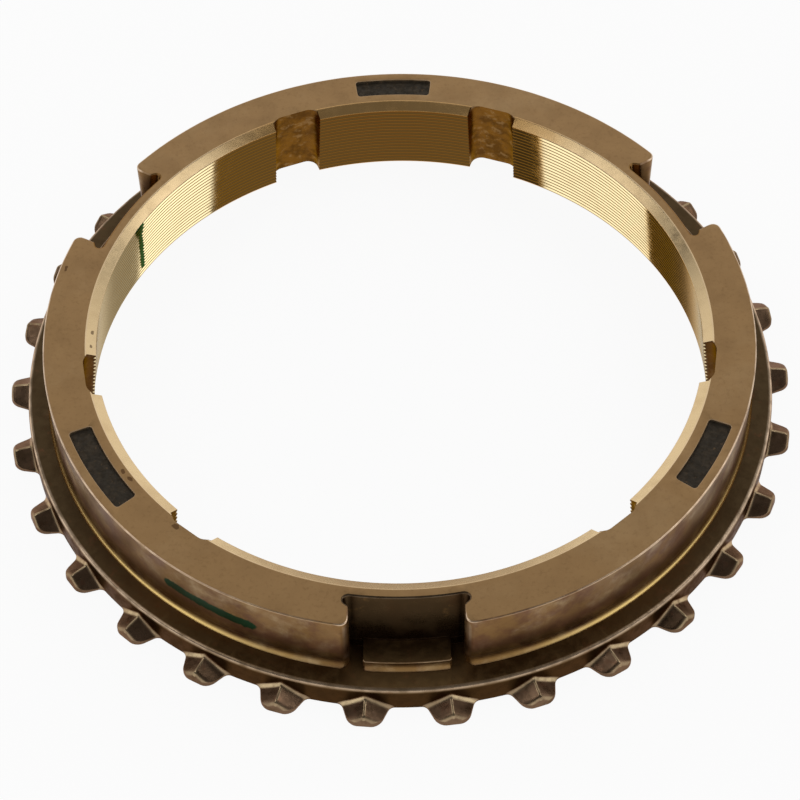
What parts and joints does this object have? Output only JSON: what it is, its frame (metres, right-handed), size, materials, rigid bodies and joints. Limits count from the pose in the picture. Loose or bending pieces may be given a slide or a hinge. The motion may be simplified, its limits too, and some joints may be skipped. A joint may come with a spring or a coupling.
{
  "type": "synchronizer ring",
  "caption": "Brass blocker ring with a grooved tapered bore, key slots in the collar and pointed teeth around its flange; brakes a gear against its hub.",
  "frame": {"origin": "on the ring's axis, in the plane of its flat toothed face", "axes": "+Z along the axis from the toothed flange to the collar's face; one key slot opens towards -Y"},
  "size_m": [0.0948, 0.0944, 0.012],
  "materials": {
    "ring": "forged and turned brass, satin where machined, dark oxide where left as forged"
  },
  "bodies": {
    "root": {"synchronizer_ring": "ring"}
  },
  "joints": []
}
